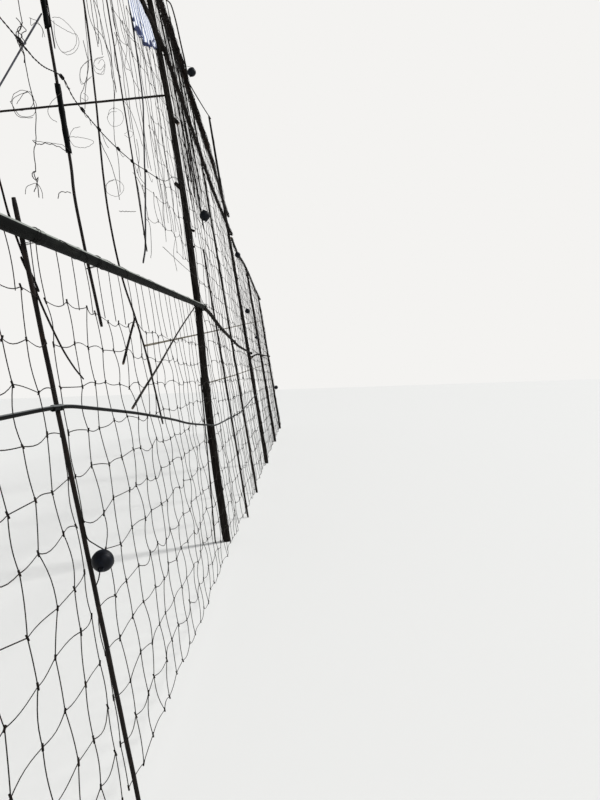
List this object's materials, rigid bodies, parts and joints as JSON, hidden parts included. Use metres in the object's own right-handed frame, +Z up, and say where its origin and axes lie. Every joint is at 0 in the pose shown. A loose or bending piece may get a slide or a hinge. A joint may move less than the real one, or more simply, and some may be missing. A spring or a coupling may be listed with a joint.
{
  "type": "tall pole and wire net fence",
  "caption": "Tall makeshift leaning fence of natural poles, iron rods, lashed rails and wire netting, with a sagging pipe and floats.",
  "frame": {"origin": "middle of the near end post's flat foot on the ground", "axes": "+X along the row towards the far end, +Y away from the path, the way the fence leans, +Z up"},
  "size_m": [21.0621, 2.5793, 6.2282],
  "materials": {
    "weathered_wood": "weathered, rough",
    "grey_cane": "weathered, dry",
    "rusty_iron": "rusted",
    "dull_zinc": "dull, weathered zinc",
    "net_wire": "weathered wire",
    "rusty_net": "rusted",
    "black_plastic": "matte",
    "float_plastic": "satin",
    "dark_wire": "dull",
    "dark_rope": "worn",
    "torn_cloth": "thin, faded"
  },
  "bodies": {
    "root": {"near_end_post": "weathered_wood", "rod_post": "rusty_iron", "spliced_upright": "rusty_iron", "splice_sleeves": "black_plastic", "splice_splint": "dull_zinc", "second_upright": "rusty_iron", "third_upright": "rusty_iron", "grey_rod": "dull_zinc", "main_pole": "weathered_wood", "rod_beside_main_pole": "rusty_iron", "low_upright": "rusty_iron", "short_hanging_rod": "rusty_iron", "hooked_pole": "grey_cane", "far_pole": "weathered_wood", "seventh_pole": "weathered_wood", "far_end_pole": "weathered_wood", "near_rail": "weathered_wood", "second_rail": "weathered_wood", "far_low_rail": "weathered_wood", "near_top_rail": "weathered_wood", "middle_top_rail": "weathered_wood", "upper_top_rail": "rusty_iron", "far_top_rail": "weathered_wood", "back_rails": "grey_cane", "top_rope": "dark_rope", "tension_wire": "dark_wire", "middle_wire": "dark_wire", "black_pipe": "black_plastic", "pipe_coupling": "black_plastic", "brace_cane": "grey_cane", "short_stick": "weathered_wood", "near_stick_upper": "weathered_wood", "near_stick_lower": "weathered_wood", "tie_bar": "rusty_iron", "raking_stay": "dull_zinc", "net_bay_1": "net_wire", "net_bay_2": "net_wire", "net_bay_3": "net_wire", "net_bay_4": "net_wire", "net_bay_5": "net_wire", "net_bay_6": "net_wire", "torn_net": "net_wire", "rolled_net": "rusty_net", "hook_float": "float_plastic", "net_floats": "float_plastic", "cloth_scrap": "torn_cloth", "near_lashings": "dark_wire", "main_lashings": "dark_wire", "far_lashings": "dark_wire"}
  },
  "joints": []
}
